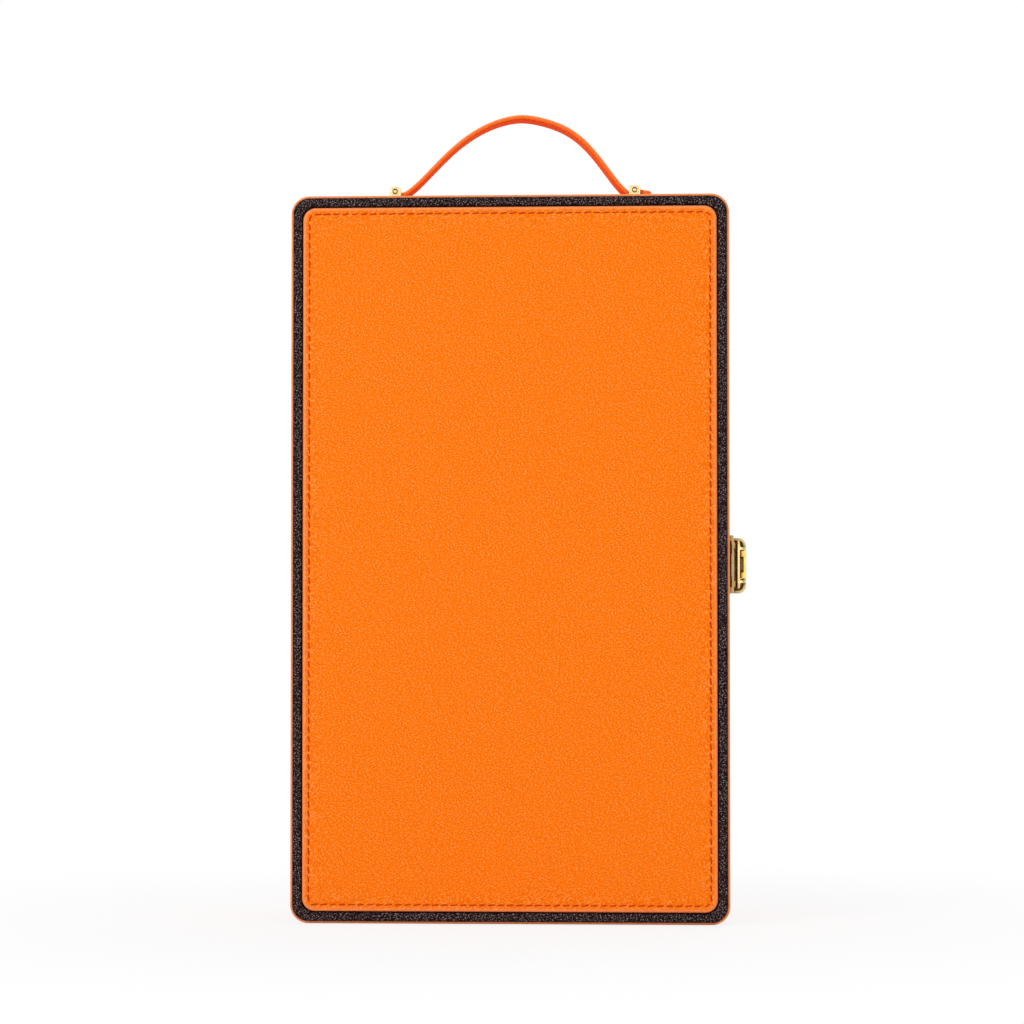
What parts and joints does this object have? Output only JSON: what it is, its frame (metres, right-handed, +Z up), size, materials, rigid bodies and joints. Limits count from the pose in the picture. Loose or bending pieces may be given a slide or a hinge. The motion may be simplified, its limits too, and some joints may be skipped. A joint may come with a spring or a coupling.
{
  "type": "leather wine case",
  "caption": "Upright leather-covered case for two wine bottles, hinged like a book on a leather spine, with a toggle latch and a bowed carrying strap",
  "frame": {"origin": "middle of the bottom face that the case stands on, at the middle of its width and depth", "axes": "+X to the right seen from the front, +Y from the front panel to the back, +Z up"},
  "size_m": [0.2135, 0.108, 0.3839],
  "materials": {
    "orange_leather": "fine pebble grain, satin",
    "black_leather": "coarse grain, semi-gloss",
    "strap_leather": "smooth grain, stitched edges",
    "fibreboard": "raw sawn fibreboard",
    "foam": "flocked foam, matt",
    "padding": "soft foam sheet",
    "lining": "brushed suede cloth, matt",
    "gilt_brass": "polished, gold plated"
  },
  "bodies": {
    "case_back": {"rear_left_rail": "fibreboard", "rear_right_rail": "fibreboard", "rear_top_rail": "fibreboard", "rear_bottom_rail": "fibreboard", "rear_board": "fibreboard", "rear_side_leather": "orange_leather", "rear_rim_leather": "black_leather", "rear_panel_leather": "orange_leather", "rear_panel_pad": "padding", "rear_lining": "lining", "rear_collar": "lining", "rear_body_cradle": "foam", "rear_neck_cradle": "foam", "spine_leather_rear": "orange_leather", "handle_arm_left": "strap_leather", "handle_arm_right": "strap_leather", "keeper_left": "gilt_brass", "keeper_right": "gilt_brass", "keeper_pin_left": "gilt_brass", "keeper_pin_right": "gilt_brass", "keeper_screws": "gilt_brass", "latch_base_plate": "gilt_brass", "latch_pivot_pin": "gilt_brass", "latch_base_screws": "gilt_brass"},
    "lid": {"front_left_rail": "fibreboard", "front_right_rail": "fibreboard", "front_top_rail": "fibreboard", "front_bottom_rail": "fibreboard", "front_board": "fibreboard", "front_side_leather": "orange_leather", "front_rim_leather": "black_leather", "front_panel_leather": "orange_leather", "front_panel_pad": "padding", "front_lining": "lining", "front_body_pad": "foam", "front_neck_pad": "foam", "spine_leather_front": "orange_leather", "latch_catch_plate": "gilt_brass", "latch_catch_screws": "gilt_brass"},
    "lever": {"latch_lever": "gilt_brass"},
    "bail": {"latch_bail": "gilt_brass"},
    "crown": {"handle_crown": "strap_leather"},
    "tail_left": {"handle_tail_left": "strap_leather"},
    "tail_right": {"handle_tail_right": "strap_leather"}
  },
  "joints": [
    {"name": "lid_hinge", "type": "hinge", "parent": "case_back", "child": "lid", "pos_m": [-0.1032, -0.014, 0.17], "axis": [0, 0, -1], "range_deg": [0, 175]},
    {"name": "lever_pivot", "type": "hinge", "parent": "case_back", "child": "lever", "pos_m": [0.1065, -0.004, 0.1675], "axis": [0, 0, -1], "range_deg": [0, 100]},
    {"name": "bail_pivot", "type": "hinge", "parent": "lever", "child": "bail", "pos_m": [0.1065, 0.003, 0.1675], "axis": [0, 0, -1], "range_deg": [-100, 0]},
    {"name": "handle_press", "type": "slide", "parent": "case_back", "child": "crown", "axis": [0, 0, -1], "range_m": [0, 0.033], "deforming": ["handle_arm_left", "handle_arm_right"]},
    {"name": "tail_slide_left", "type": "slide", "parent": "case_back", "child": "tail_left", "axis": [-1, 0, 0], "range_m": [0, 0.0133]},
    {"name": "tail_slide_right", "type": "slide", "parent": "case_back", "child": "tail_right", "axis": [1, 0, 0], "range_m": [0, 0.0133]}
  ],
  "couplings": [
    {"joint": "bail_pivot", "follows": "lever_pivot", "ratio": -1},
    {"joint": "tail_slide_left", "follows": "handle_press", "ratio": 0.4},
    {"joint": "tail_slide_right", "follows": "handle_press", "ratio": 0.4}
  ]
}
